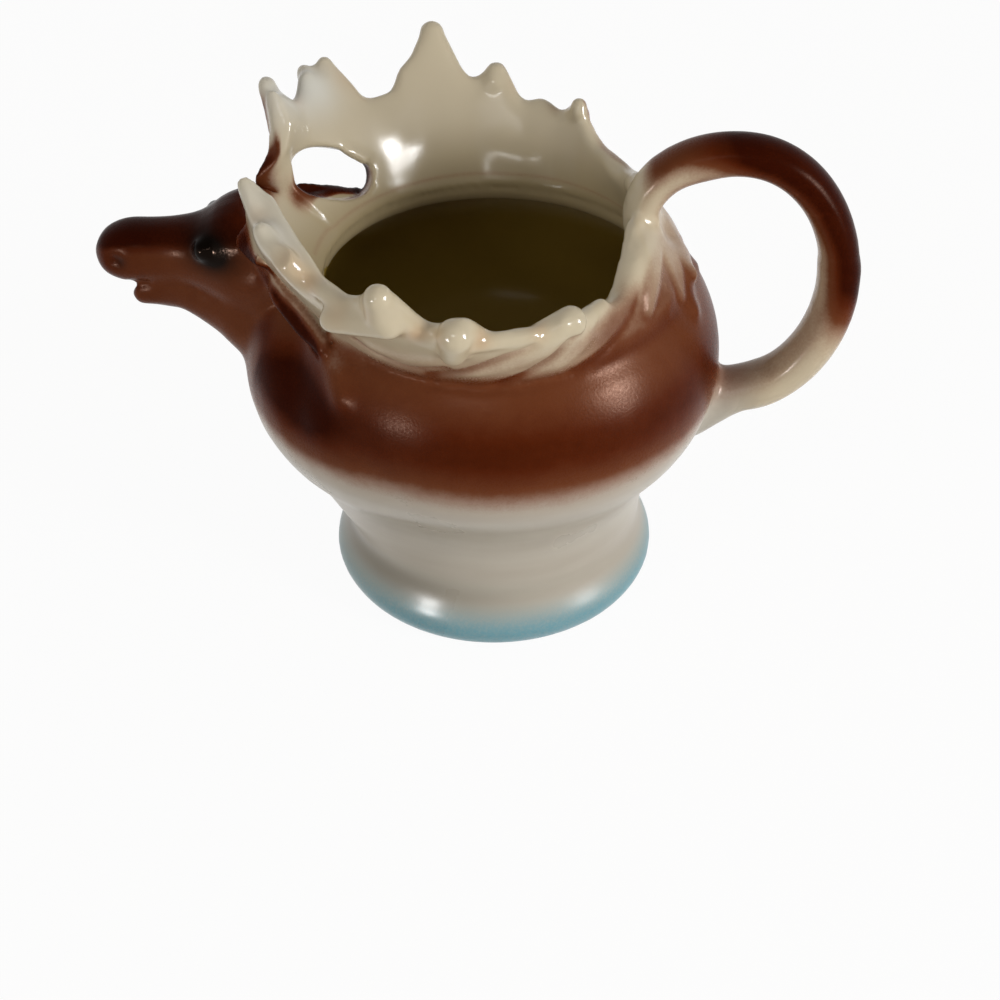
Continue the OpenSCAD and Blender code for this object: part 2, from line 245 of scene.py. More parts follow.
co = points(clay)
everywhere = np.ones(len(co), bool)
radius = np.hypot(co[:, 0], co[:, 1])
sponge(clay, everywhere, clayWork["sponge"])
broad = (co[:, 2] > 1) & (co[:, 2] < 58) & (co[:, 0] > -44) & (radius < 45)
sponge(clay, broad, clayWork["broad"], back=0)
collar = (np.abs(co[:, 2] - 60) < 2.6) & (radius > 30.5) & (co[:, 0] > -22)
sponge(clay, collar, clayWork["collar"], back=0)
for edge in (24.0, 26.0, 28.0):
    strap = (co[:, 0] > edge) & (co[:, 2] > 44 + edge) & (np.abs(co[:, 1]) < 8)
    sponge(clay, strap, clayWork["strap"], back=-0.3)
co = points(clay)
co[:, 2] += clayWork["strapLift"] * np.exp(-((co[:, 0] - 30) / 5.5) ** 2) * rise(co[:, 2], 72, 77)
setPoints(clay, co)
loopLow = (co[:, 0] > 42) & (co[:, 2] < 66)
sponge(clay, loopLow, clayWork["loop"], back=0)
loopLow = rise(co[:, 0], 41, 45) * (1 - rise(co[:, 2], 62, 67))
setPoints(clay, points(clay) + facing(clay) * (clayWork["loopSwell"] * loopLow)[:, None])

# places rubbed down with a thumb, on both sides: middle, reach, rounds
rubbed = [
    ((-38.6, -9.8, 60.4), 5.0, 14), ((-53.0, -4.2, 56.2), 3.6, 8), ((-35.6, -12.0, 65.6), 3.2, 6),
    ((29.5, -8.0, 64.0), 9.0, 8), ((24.0, -16.0, 65.0), 6.0, 8), ((33.0, 0, 62.0), 8.0, 8),
    ((-30.0, -18.6, 63.0), 5.0, 3), ((19.4, -25.2, 69.4), 3.4, 4), ((38.6, 0, 42.0), 8.0, 8),
    ((-37.6, -16.8, 80.0), 4.5, 6), ((-32.0, -27.0, 79.0), 5.0, 3), ((-32.0, -22.6, 78.0), 6.5, 5),
    ((-24.0, -30.6, 73.4), 4.0, 6)]
for middle, reach, rounds in rubbed:
    for share in (1.0, 0.8, 0.6):
        away = np.linalg.norm(np.c_[co[:, 0], -np.abs(co[:, 1]), co[:, 2]] - middle, axis=1)
        sponge(clay, away < reach * share, rounds, back=0)
sponge(clay, everywhere, 2, back=0)
print("clay sponged")

# tooled lines, given for the elk's left and made on both sides: width, depth, path
groove = [
    (23.6, -17.6, 66.6), (21.6, -21.0, 65.0), (19.6, -25.3, 62.6), (14.5, -29.0, 60.2), (7.1, -31.6, 59.2),
    (0.3, -32.4, 59.0), (-7.0, -31.6, 59.2), (-15.6, -28.4, 59.6), (-20.4, -26.4, 61.0)]
tooled = [
    (0.8, -0.55, [(14.6, -32.0, 70.0), (13.9, -33.7, 68.7), (11.1, -33.1, 65.5), (7.8, -32.7, 62.5),
                  (3.3, -32.1, 60.2)]),
    (0.8, -0.50, [(8.4, -36.4, 69.2), (4.6, -36.8, 67.9), (1.7, -36.2, 66.1), (-1.4, -35.3, 64.3),
                  (-7.5, -33.0, 61.2)]),
    (0.8, -0.50, [(-4.9, -35.0, 64.1), (-9.9, -33.2, 62.2), (-14.4, -31.9, 63.0), (-18.4, -30.7, 65.6)]),
    (1.7, 0.45, [(12.0, -32.0, 62.6), (15.6, -30.6, 65.4), (17.4, -29.4, 68.0)]),
    (1.8, 0.45, [(-2.0, -35.2, 62.6), (4.0, -35.0, 64.4), (9.6, -34.6, 67.2)]),
    (1.8, 0.35, [(-16.0, -32.6, 66.0), (-11.0, -34.4, 65.4), (-7.0, -35.6, 66.6)]),
    (2.6, -0.90, [(28.6, 0, 72.0), (29.4, 0, 69.0)]),
    (3.2, 0.30, [(-19.4, -27.6, 68.8), (-17.0, -28.0, 67.4)]),
    (2.6, 0.28, [(-1.0, -30.7, 64.4), (4.0, -29.9, 63.4)]),
    (0.9, -0.50, groove),
    (4.2, -0.90, [(-31.2, -19.6, 53.8), (-30.3, -23.0, 51.0), (-30.1, -25.6, 46.6)]),
    (2.4, 0.80, [(-23.6, -23.4, 58.2), (-23.0, -25.8, 56.4), (-21.9, -28.6, 53.6)]),
    (1.3, -0.60, [(-61.4, -4.8, 61.4)]),
    (0.8, -0.35, [(-59.4, -3.4, 57.0), (-57.4, -4.2, 56.8)]),
    (2.4, 0.25, [(-47.6, -6.8, 67.6), (-45.0, -7.4, 68.6), (-42.0, -8.4, 67.6)]),
    (2.0, 0.20, [(-44.8, -7.6, 65.4)]),
    (1.5, -0.60, [(-36.4, -12.4, 63.4), (-35.2, -12.6, 65.4)])]
for width, depth, path in tooled:
    for side in bothSides:
        co = points(clay)
        no = facing(clay)
        reach = toPath(co, [(p[0], -side * p[1], p[2]) for p in path])
        setPoints(clay, co + no * (depth * np.exp(-(reach / width) ** 2))[:, None])

# the handle's root runs out into toes on the shoulder: start, end, the two half widths
toes = [
    ((25.0, -7.0, 71.0), (25.4, -17.2, 64.3), 3.4, 0.9),
    ((27.4, -3.4, 69.0), (30.6, -8.2, 61.4), 3.6, 1.0),
    ((28.0, 0, 68.5), (34.4, -2.2, 59.6), 3.8, 1.2)]


def rootShape(co):
    there = np.c_[co[:, 0], -np.abs(co[:, 1]), co[:, 2]]
    best = np.full(len(co), 9.0)
    for start, end, wide, narrow in toes:
        way = np.subtract(end, start)
        t = np.clip(((there - start) @ way) / (way @ way), 0, 1)
        away = np.linalg.norm(there - start - t[:, None] * way, axis=1)
        best = np.minimum(best, away - wide - (narrow - wide) * t)
    return best


co = points(clay)
toeLift = clayWork["toeHeight"] * (1 - rise(rootShape(co), -0.8, 0.9))
setPoints(clay, co + facing(clay) * toeLift[:, None])
sponge(clay, everywhere, 1, back=0)

# turned foot, a fuller roll and the cove above it: amount, height, width
footTurn = {"roll": (0.45, 5.2, 2.6), "cove": (-0.45, 11.0, 3.0)}
co = points(clay)
no = facing(clay)
radius = np.hypot(co[:, 0], co[:, 1])
outside = (no[:, 0] * co[:, 0] + no[:, 1] * co[:, 1] > 0) & (radius > 17)
for amount, height, width in footTurn.values():
    swell = 1 + amount * np.exp(-((co[:, 2] - height) / width) ** 2) * outside / np.maximum(radius, 1)
    co[:, :2] *= swell[:, None]
setPoints(clay, co)
print("clay tooled")


# cut lines between the pieces, all inside the luted joints
cuts = {"waist": 14.0, "rim": 59.5, "seam": 28.0, "crown": 9.0, "handleFoot": 38.9}


def block(name, low, high):
    size = [(b - a) * mm for a, b in zip(low, high)]
    middle = [(a + b) / 2 * mm for a, b in zip(low, high)]
    bpy.ops.mesh.primitive_cube_add(size=1, location=middle, scale=size)
    made = bpy.context.object
    made.name = name
    bpy.ops.object.transform_apply(location=True, rotation=True, scale=True)
    return made


def takeOut(stock, tool, name):
    piece = stock.copy()
    piece.data = stock.data.copy()
    piece.name = name
    scene.collection.objects.link(piece)
    cutWith(piece, tool, "INTERSECT")
    cutWith(stock, tool, "DIFFERENCE")
    bpy.data.objects.remove(tool)
    return piece


stock = clay.copy()
stock.data = clay.data.copy()
stock.name = "creamer_bowl"
scene.collection.objects.link(stock)

pieces = {}
footBlock = block("footBlock", (-60, -60, -9), (60, 60, cuts["waist"]))
pieces["foot"] = takeOut(stock, footBlock, "creamer_foot")

# handle: a wedge of the collar, and all that stands behind the belly
backReach = 75
wedge = block("wedge", (0, -45, cuts["rim"]), (backReach, 45, 100))
wedgeCo = points(wedge)
spread = math.tan(math.radians(cuts["seam"]))
wedgeCo[:, 1] = np.sign(wedgeCo[:, 1]) * np.where(wedgeCo[:, 0] < 1, 0.05, backReach * spread)
setPoints(wedge, wedgeCo)
behind = block("behind", (cuts["handleFoot"], -20, 20), (backReach, 20, cuts["rim"] + 5))
cutWith(wedge, behind, "UNION")
bpy.data.objects.remove(behind)
pieces["handle"] = takeOut(stock, wedge, "creamer_handle")

# head: a block between the antlers, and the throat in front of the chest
crown = block("crownBlock", (-80, -cuts["crown"], cuts["rim"]), (-5, cuts["crown"], 100))
throat = block("throat", (-80, -16, 36), (-36, 16, cuts["rim"] + 0.01))
throatCo = points(throat)
low = throatCo[:, 2] < 50
throatCo[:, 0] = np.where(throatCo[:, 0] > -50, np.where(low, -46.5, -36.5), throatCo[:, 0])
setPoints(throat, throatCo)
cutWith(crown, throat, "UNION")
bpy.data.objects.remove(throat)
pieces["elk_head"] = takeOut(stock, crown, "creamer_elk_head")

# ears: slanting slabs round each leaf
earCut = {"root": (-36.4, 9.2, 64.8), "tip": (-24.9, 22.95, 60.66), "half": 3.1, "thick": (-0.7, 4.5)}
for side, name in ((-1, "left_ear"), (1, "right_ear")):
    root = Vector(earCut["root"])
    tip = Vector(earCut["tip"])
    ahead = (tip - root).normalized()
    outward = Vector((root + tip) * 0.5)
    outward.z = 0
    outward = (outward.normalized() * 0.8 + Vector((0, 0, 0.6))).normalized()
    across = ahead.cross(outward).normalized()
    outward = across.cross(ahead).normalized()
    under, over = earCut["thick"]
    reach = (tip - root).length + 1
    slab = block("slab", (0, -earCut["half"], under), (reach, earCut["half"], over))
    slabCo = points(slab)
    slabCo = np.array([root + ahead * p[0] + across * p[1] + outward * p[2] for p in slabCo])
    slabCo[:, 1] *= side
    setPoints(slab, slabCo)
    pick(slab)
    bpy.ops.object.mode_set(mode="EDIT")
    bpy.ops.mesh.select_all(action="SELECT")
    bpy.ops.mesh.normals_make_consistent(inside=False)
    bpy.ops.object.mode_set(mode="OBJECT")
    pieces[name] = takeOut(stock, slab, "creamer_" + name)

leftBlock = block("leftBlock", (-80, -80, cuts["rim"]), (80, 0, 110))
pieces["left_antler"] = takeOut(stock, leftBlock, "creamer_left_antler")
rightBlock = block("rightBlock", (-80, 0, cuts["rim"]), (80, 80, 110))
pieces["right_antler"] = takeOut(stock, rightBlock, "creamer_right_antler")
pieces["bowl"] = stock

# the belly is turned as a part of a ring
bellyTurn = {"ring": 16.1, "round": 22.0, "height": 44.5}


def bellyRadius(z):
    rest = bellyTurn["round"] ** 2 - (z - bellyTurn["height"]) ** 2
    return bellyTurn["ring"] + np.sqrt(np.maximum(rest, 0))


# the bowl's plain inside takes fewer faces
thinned = {"share": 0.78, "low": 15.0, "high": 57.0, "front": -30.0, "wall": 2.0}
bowlCo = points(stock)
inside = bellyRadius(bowlCo[:, 2]) - np.hypot(bowlCo[:, 0], bowlCo[:, 1]) > thinned["wall"]
inside = inside & (bowlCo[:, 2] > thinned["low"]) & (bowlCo[:, 2] < thinned["high"])
inside = inside & (bowlCo[:, 0] > thinned["front"])
stock.vertex_groups.new(name="inside").add(np.nonzero(inside)[0].tolist(), 1.0, "REPLACE")
thin = stock.modifiers.new("thin", "DECIMATE")
thin.ratio = thinned["share"]
thin.vertex_group = "inside"
applyAll(stock)
stock.vertex_groups.clear()
for name, piece in pieces.items():
    print(name, len(piece.data.vertices), len(piece.data.polygons))


# airbrushed colour, with some painted shade and painted highlight, as coats on the clay that the pieces take
# over
co = points(clay)
no = facing(clay)
x, y, z = co.T
near = np.c_[x, -np.abs(y), z]
radius = np.hypot(x, y)
out = (no[:, 0] * x + no[:, 1] * y) / np.maximum(radius, 1)


def spray(spread, *path):
    return np.exp(-(toPath(near, path) / spread) ** 2)


# where things are: the hollow, the throat line, the middle of the handle's loop
bowlFloor = 15
throatLine = 58.5
loopX = 39.4
loopZ = 60
hollow = (z > bowlFloor) * (z < throatLine)
within = rise(-out, 0.0, 0.2) * hollow * (x > -37) * (x < 37)
within = np.maximum(within, rise(bellyRadius(z) - radius, 1.2, 2.4) * hollow * (x > -30))
within = np.maximum(within, (z >= throatLine) * rise(-out, -0.1, 0.35) * (radius < 46) * rise(x, -40, -34.5))
spoutWay = (np.hypot(y, z - 54.8) < 3.7) * (x < -22) * (x > -57)
within = np.maximum(within, spoutWay)
onHead = rise(-x, 33, 38) * rise(z, 41, 46) * (1 - rise(np.abs(y) - rise(60 - z, 0, 6) * 4, 9.5, 11.5))
loop = np.hypot(x - loopX, (z - loopZ) * 0.78)
onHandle = rise(x, 22, 26) * rise(loop, 12.0, 13.4) * (np.abs(y) < 9)
onHandle = onHandle * np.maximum(rise(z, 66, 76), rise(x, 38.5, 47.0) * (z < 74))
loopOut = (x - loopX) * no[:, 0] + (z - loopZ) * no[:, 2]
loopOut = loopOut / np.maximum(np.hypot(x - loopX, z - loopZ), 1)
onAntler = rise(z, 58.4, 60.8) * (1 - onHead) * (1 - onHandle)
outer = (1 - within) * (1 - onHandle)

belly = rise(z, 31.6, 49.0) ** 1.45 * (0.84 - 0.30 * rise(z, 50, 58.5))
# the chest is browner, partly more paint and partly painted shade in the pressed hollow behind the neck
chestPaintAndShade = 0.35 * spray(8, (-31, -22, 52), (-30, -26, 47)) + 0.2 * spray(9, (-38, -6, 46))
# the chest's tooled ridge takes less brown, a painted highlight along it
ridgeHighlight = 0.15 * spray(2.2, (-23.6, -23.4, 58.2), (-22.4, -28.6, 53.6))
collarCoat = 0.50 - 0.29 * rise(z, 59.5, 63.5) - 0.19 * rise(z, 66, 71)
creases = [path for width, depth, path in tooled[:3]]
collarCoat += sum(0.22 * spray(0.9, *path) for path in creases)
backCoat = 0.24 * rise(x, 12, 20) * (1 - rise(z, 67, 71))
backCoat += 0.16 * spray(0.9, *groove[:4])
brown = ((belly * (1 + chestPaintAndShade) - ridgeHighlight) * (1 - onAntler) + (collarCoat + backCoat) * onAntler) * outer
stem = 0.9 * spray(3.6, (-39.6, -10.6, 64), (-39.6, -12.2, 71))
stem = stem * np.where(y > 0, 1, rise(-no[:, 0], -0.9, 0.5))
tineBacks = stem + 0.8 * spray(2.4, (-40.6, -13.5, 72), (-40.6, -15.6, 79)) * rise(-no[:, 0], -0.9, 0.6)
farBacks = rise(no[:, 0], 0.1, 0.7) * (y > 0)
tineBacks += 0.5 * spray(2.2, (14.6, -33, 70), (13.4, -33.4, 74)) * farBacks
tineBacks += 0.3 * spray(1.8, (-0.4, -40.4, 73), (-1.4, -40.4, 75.4)) * farBacks
sill = 0.8 * spray(2.0, (-35.5, -14.0, 65.6), (-29.0, -20.6, 63.8), (-24.6, -23.8, 64.0))
sill = sill * rise(-out + no[:, 2] * 0.5, -0.9, -0.3)
ears = 0.75 * spray(2.0, (-32.6, -15.0, 62.8), (-29.6, -19.2, 60.8), (-26.2, -22.4, 59.0))
ears += 0.5 * spray(1.6, (-35.4, -12.0, 63.4), (-30.0, -18.4, 58.6))
ears += 0.9 * spray(2.2, (-36.5, -13.6, 68.0)) * (y < 0)
strip = spray(
    1.3, (-33.4, -15.0, 66.2), (-32.0, -16.2, 65.2), (-28.6, -19.4, 63.2), (-25.2, -23.2, 60.2)) * (y < 0)
farSill = 0.95 * spray(
    3.4, (-34.0, -11.5, 66.5), (-29.0, -15.9, 64.3), (-26.0, -19.4, 62.2), (-24.8, -21.6, 61.0))
farSill = farSill * (y > 0) * rise(radius, 31.8, 32.6) * (1 - onHead)
brown = brown + (tineBacks + sill + ears) * (1 - within * 0.7)
brown = brown * (1 - 0.8 * strip) + 0.26 * strip + farSill
brown += 0.2 * np.exp(-((z - 61.2) / 0.45) ** 2) * within * (y > 0)
headCoat = 0.61 + 0.36 * rise(no[:, 2], 0.15, 0.7) + 0.3 * spray(5, (-64, 0, 61))
headCoat -= 0.08 * rise(54 - z, 0, 6)
brown = brown * (1 - onHead) + np.clip(headCoat, 0, 1) * onHead * (1 - within)
topCoat = spray(
    9.5, (26, 0, 80), (34, 0, 83), (44, 0, 84), (50, 0, 81), (55, 0, 76), (58, 0, 68), (58, 0, 63))
turnIn = -0.2 - 0.8 * rise(x, 28, 42)
alongTop = 0.3 * rise(x, 17, 25) + 0.7 * rise(x, 25, 47)
handlePaintAndShade = 1.15 * topCoat * rise((loopOut - turnIn) / 1.2, 0, 1) * alongTop
handlePaintAndShade += 0.24 * spray(6, (38, 0, 45))
# the strap's root is darker on its side facing the front, as painted shade
handlePaintAndShade += 0.10 * (1 - rise(x, 26, 31)) * rise(-no[:, 0], -0.3, 0.4)
handlePaintAndShade += 0.16 * rise(-loopOut, 0.0, 0.8) + 0.12 * rise(x, 25, 33) * rise(z, 64, 74)
brown = brown * (1 - onHandle) + (handlePaintAndShade + 0.1) * onHandle
root = rootShape(co)
onRoot = (1 - rise(root, 0.4, 3.2)) * outer * rise(out, -0.2, 0.4)
fan = rise(radius - 26.5 - 0.0095 * y ** 2, -0.5, 0.8)
rootCoat = 0.04 + fan * (0.20 + 0.18 * (1 - rise(z, 60, 70)) + 0.08 * rise(root, -0.8, 1.0))
shade = 0.05 * np.exp(-((root - 0.7) / 0.8) ** 2) * outer * rise(out, -0.2, 0.4)
brown = brown * (1 - onRoot) + rootCoat * onRoot + shade
coats = {"brown": np.clip(brown, 0, 1)}

eyeAt = (-45.2, -7.4, 65.6)
eyeReach = np.linalg.norm((near - eyeAt) * [0.85, 0.5, 1.05], axis=1)
coats["black"] = np.clip(1.45 * np.exp(-(eyeReach / 3.9) ** 2) - 0.03, 0, 1)
coats["black"] = np.maximum(coats["black"], 0.7 * spray(1.2, (-61.2, -4.9, 61.4)))
coats["blue"] = (1 - rise(z, 3.8, 9.8)) * (radius > 20) * outer * (1 - 0.3 * rise(-x, 12, 27))
# a grey band in the foot's cove: partly grey overspray, partly painted shade in the cove, and much darker
# towards the left as painted shade
coats["greyBandAndShade"] = (0.12 + 0.60 * rise(-x, -18, 22)) * np.exp(-((z - 10.2) / 2.9) ** 2)
coats["greyBandAndShade"] = coats["greyBandAndShade"] * (radius > 20) * outer
coats["cream"] = np.clip(onAntler + onHandle + within, 0, 1)
# the bowl's inside and the spout's bore take a dark olive as painted shade, strongest low in the hollow
coats["hollowShade"] = np.maximum(within * (1 - 0.5 * rise(z, 49, 57.0) - 0.5 * rise(z, 59, 71)), spoutWay)
peachSpots = [
    (0.6, 1.8, (-8.5, -40, 73.4)), (0.6, 1.8, (0.6, -39, 72.4)), (0.5, 1.6, (8.8, -35, 71.2)),
    (0.5, 2.2, (-25.4, -31, 76)), (0.4, 2.4, (-28.6, -29, 78)), (0.3, 2.4, (-20.5, -38, 75.2)),
    (0.3, 1.8, (-15.6, -41.8, 78.6)), (0.3, 1.6, (-5.0, -41.2, 74)), (0.25, 2.0, (-34.6, -18.6, 79.5))]
coats["peach"] = sum(amount * spray(wide, spot) for amount, wide, spot in peachSpots)
# a pale grey over the tops of the brow palms, weaker on the near one
coats["paleGrey"] = spray(5.0, (-36.0, -17, 81), (-32, -23, 79.5)) * rise(z, 70, 75)
coats["paleGrey"] = coats["paleGrey"] * np.where(y < 0, 0.55, 1)
print("coats sprayed")


# glaze, with the colours of painted shade
glaze = {
    "white": (0.47, 0.43, 0.36, 1), "cream": (0.56, 0.48, 0.34, 1), "paleGrey": (0.66, 0.64, 0.57, 1),
    "peach": (0.50, 0.30, 0.15, 1), "hollowShade": (0.25, 0.165, 0.030, 1), "blue": (0.13, 0.31, 0.37, 1),
    "smear": (0.36, 0.30, 0.24, 1), "greyBandAndShade": (0.17, 0.155, 0.12, 1),
    "black": (0.001, 0.0006, 0.0004, 1), "warm": (1.0, 0.64, 0.48, 1), "iron": (0.05, 0.028, 0.016, 1),
    "brown": [
        (0.0, (0.46, 0.29, 0.19, 1)), (0.25, (0.26, 0.110, 0.058, 1)), (0.5, (0.140, 0.041, 0.015, 1)),
        (0.8, (0.078, 0.0125, 0.0022, 1)), (1.0, (0.030, 0.0035, 0.0006, 1))],
    "satin": 0.29, "gloss": 0.17, "sprayed": 0.27, "peel": 0.22, "peelDepth": 0.0001,
    "speckScale": 2400, "cloudScale": 70, "mottleScale": 420, "strokeScale": 90, "fleckScale": 130}


def glazeMaterial(name):
    mat = bpy.data.materials.new(name)
    mat.use_nodes = True
    tree = mat.node_tree
    tree.nodes.clear()

    def node(kind, x, y, **values):
        made = tree.nodes.new(kind)
        made.location = (x, y)
        for key, value in values.items():
            setattr(made, key, value)
        return made

    def link(a, b):
        tree.links.new(a, b)

    def noise(scale, detail, x, y):
        made = node("ShaderNodeTexNoise", x, y)
        made.inputs["Scale"].default_value = scale
        made.inputs["Detail"].default_value = detail
        link(where.outputs["Object"], made.inputs["Vector"])
        return made.outputs["Fac"]

    def span(value, lowIn, highIn, lowOut, highOut, x, y, smooth=False):
        made = node("ShaderNodeMapRange", x, y)
        if smooth:
            made.interpolation_type = "SMOOTHSTEP"
        link(value, made.inputs["Value"])
        made.inputs["From Min"].default_value = lowIn
        made.inputs["From Max"].default_value = highIn
        made.inputs["To Min"].default_value = lowOut
        made.inputs["To Max"].default_value = highOut
        return made.outputs["Result"]

    def sums(kind, a, b, x, y):
        made = node("ShaderNodeMath", x, y, operation=kind)
        for value, socket in ((a, made.inputs[0]), (b, made.inputs[1])):
            if isinstance(value, float):
                socket.default_value = value
            else:
                link(value, socket)
        return made.outputs[0]

    def coat(layer, x, y):
        return node("ShaderNodeAttribute", x, y, attribute_name=layer).outputs["Fac"]

    def over(base, top, amount, x, y):
        mix = node("ShaderNodeMix", x, y, data_type="RGBA")
        link(amount, mix.inputs["Factor"])
        for value, socket in ((base, mix.inputs["A"]), (top, mix.inputs["B"])):
            if isinstance(value, tuple):
                socket.default_value = value
            else:
                link(value, socket)
        return mix.outputs["Result"]

    outNode = node("ShaderNodeOutputMaterial", 1500, 0)
    shader = node("ShaderNodeBsdfPrincipled", 1200, 0)
    link(shader.outputs["BSDF"], outNode.inputs["Surface"])
    where = node("ShaderNodeTexCoord", -1700, 0)
    speck = noise(glaze["speckScale"], 3, -1400, 300)
    cloud = noise(glaze["cloudScale"], 5, -1400, 0)
    mottle = noise(glaze["mottleScale"], 3, -1400, -300)

    # spray dots thin out where the coat does
    fine = span(speck, 0.25, 0.75, -0.03, 0.03, -1150, 250)
    wide = span(cloud, 0.3, 0.7, -0.03, 0.03, -1150, 50)
    dots = sums("ADD", fine, wide, -950, 150)
    dots = sums("ADD", dots, span(mottle, 0.3, 0.7, -0.018, 0.018, -1150, -150), -800, 100)
    brown = coat("brown", -1150, -400)
    spread = span(brown, 0.0, 0.25, 0.0, 1.0, -950, -300)
    density = sums("ADD", brown, sums("MULTIPLY", dots, spread, -650, 0), -500, -100)
    ramp = node("ShaderNodeValToRGB", -300, -100)
    link(density, ramp.inputs["Fac"])
    stops = ramp.color_ramp.elements
    stops[0].position, stops[0].color = glaze["brown"][0]
    stops[1].position, stops[1].color = glaze["brown"][-1]
    for place, tint in glaze["brown"][1:-1]:
        stops.new(place).color = tint
    cover = span(density, 0.0, 0.55, 0.0, 1.0, -300, -350, True)

    cream = coat("cream", -900, 600)
    hollowShade = coat("hollowShade", -900, 300)
    black = coat("black", -900, -600)
    brushed = node("ShaderNodeMapping", -1400, 700)
    brushed.inputs["Scale"].default_value = (0.35, 0.35, 2.4)
    link(where.outputs["Object"], brushed.inputs["Vector"])
    strokes = node("ShaderNodeTexNoise", -1150, 700)
    strokes.inputs["Scale"].default_value = glaze["strokeScale"]
    strokes.inputs["Detail"].default_value = 2
    link(brushed.outputs["Vector"], strokes.inputs["Vector"])
    smeared = span(strokes.outputs["Fac"], 0.2, 0.85, 0.0, 0.55, -900, 750, True)
    color = over(glaze["white"], glaze["smear"], smeared, -450, 650)
    color = over(color, glaze["cream"], cream, -300, 600)
    # grey band and painted shade in the foot's cove
    color = over(color, glaze["greyBandAndShade"], coat("greyBandAndShade", -900, 550), -220, 575)
    color = over(color, glaze["paleGrey"], coat("paleGrey", -900, 500), -150, 550)
    color = over(color, glaze["peach"], coat("peach", -900, 400), 0, 500)
    # painted shade of dark olive inside the bowl and the spout
    color = over(color, glaze["hollowShade"], hollowShade, 150, 450)
    blueDots = span(speck, 0.2, 0.6, 0.7, 1.0, -700, 200)
    blue = sums("MULTIPLY", coat("blue", -900, 200), blueDots, -500, 200)
    color = over(color, glaze["blue"], blue, 300, 400)
    color = over(color, ramp.outputs["Color"], cover, 450, 300)
    color = over(color, glaze["black"], black, 600, 250)
    # iron specks in the clay
    fleck = node("ShaderNodeTexVoronoi", 300, 700)
    fleck.inputs["Scale"].default_value = glaze["fleckScale"]
    link(where.outputs["Object"], fleck.inputs["Vector"])
    rare = span(fleck.outputs["Color"], 0.86, 0.9, 0.0, 1.0, 500, 650)
    fleckRound = span(fleck.outputs["Distance"], 0.02, 0.035, 0.7, 0.0, 500, 800)
    fleckShape = sums("MULTIPLY", fleckRound, rare, 700, 700)
    color = over(color, glaze["iron"], fleckShape, 850, 350)
    link(color, shader.inputs["Base Color"])

    even = span(cream, 0.0, 1.0, glaze["satin"], glaze["gloss"], 300, -50)
    rough = sums("ADD", even, span(cloud, 0.3, 0.7, -0.03, 0.05, 300, -200), 500, -100)
    coarse = span(speck, 0.3, 0.7, glaze["sprayed"] - 0.05, glaze["sprayed"] + 0.07, 300, -400)
    roughMix = node("ShaderNodeMix", 700, -200, data_type="FLOAT")
    link(cover, roughMix.inputs["Factor"])
    link(rough, roughMix.inputs["A"])
    link(coarse, roughMix.inputs["B"])
    wet = sums("MULTIPLY", black, 0.15, 700, -350)
    link(sums("SUBTRACT", roughMix.outputs["Result"], wet, 900, -250), shader.inputs["Roughness"])
    # the inside of the bowl and the thickest brown shine least, the eyes a little more
    eyeShine = span(black, 0.6, 1.0, 1.0, 1.3, 500, -650)
    dull = sums("MULTIPLY", span(hollowShade, 0.0, 1.0, 1.0, 0.06, 500, -500), eyeShine, 650, -550)
    dull = sums("MULTIPLY", dull, span(density, 0.72, 0.95, 1.0, 0.35, 500, -750), 800, -600)
    shine = sums("MULTIPLY", span(cover, 0.0, 1.0, 0.30, 0.065, 700, -400), dull, 900, -450)
    link(shine, shader.inputs["Specular IOR Level"])
    link(over((1, 1, 1, 1), glaze["warm"], cover, 700, -600), shader.inputs["Specular Tint"])

    grain = sums("MULTIPLY", speck, span(cover, 0.0, 1.0, 0.15, 1.0, 500, -800), 700, -800)
    peel = sums("ADD", grain, sums("MULTIPLY", mottle, 0.8, 700, -950), 850, -850)
    bump = node("ShaderNodeBump", 1000, -700)
    bump.inputs["Strength"].default_value = glaze["peel"]
    bump.inputs["Distance"].default_value = glaze["peelDepth"]
    link(peel, bump.inputs["Height"])
    link(bump.outputs["Normal"], shader.inputs["Normal"])
    return mat


materials = {slot: glazeMaterial(slot) for slot in sorted(set(slots.values()))}

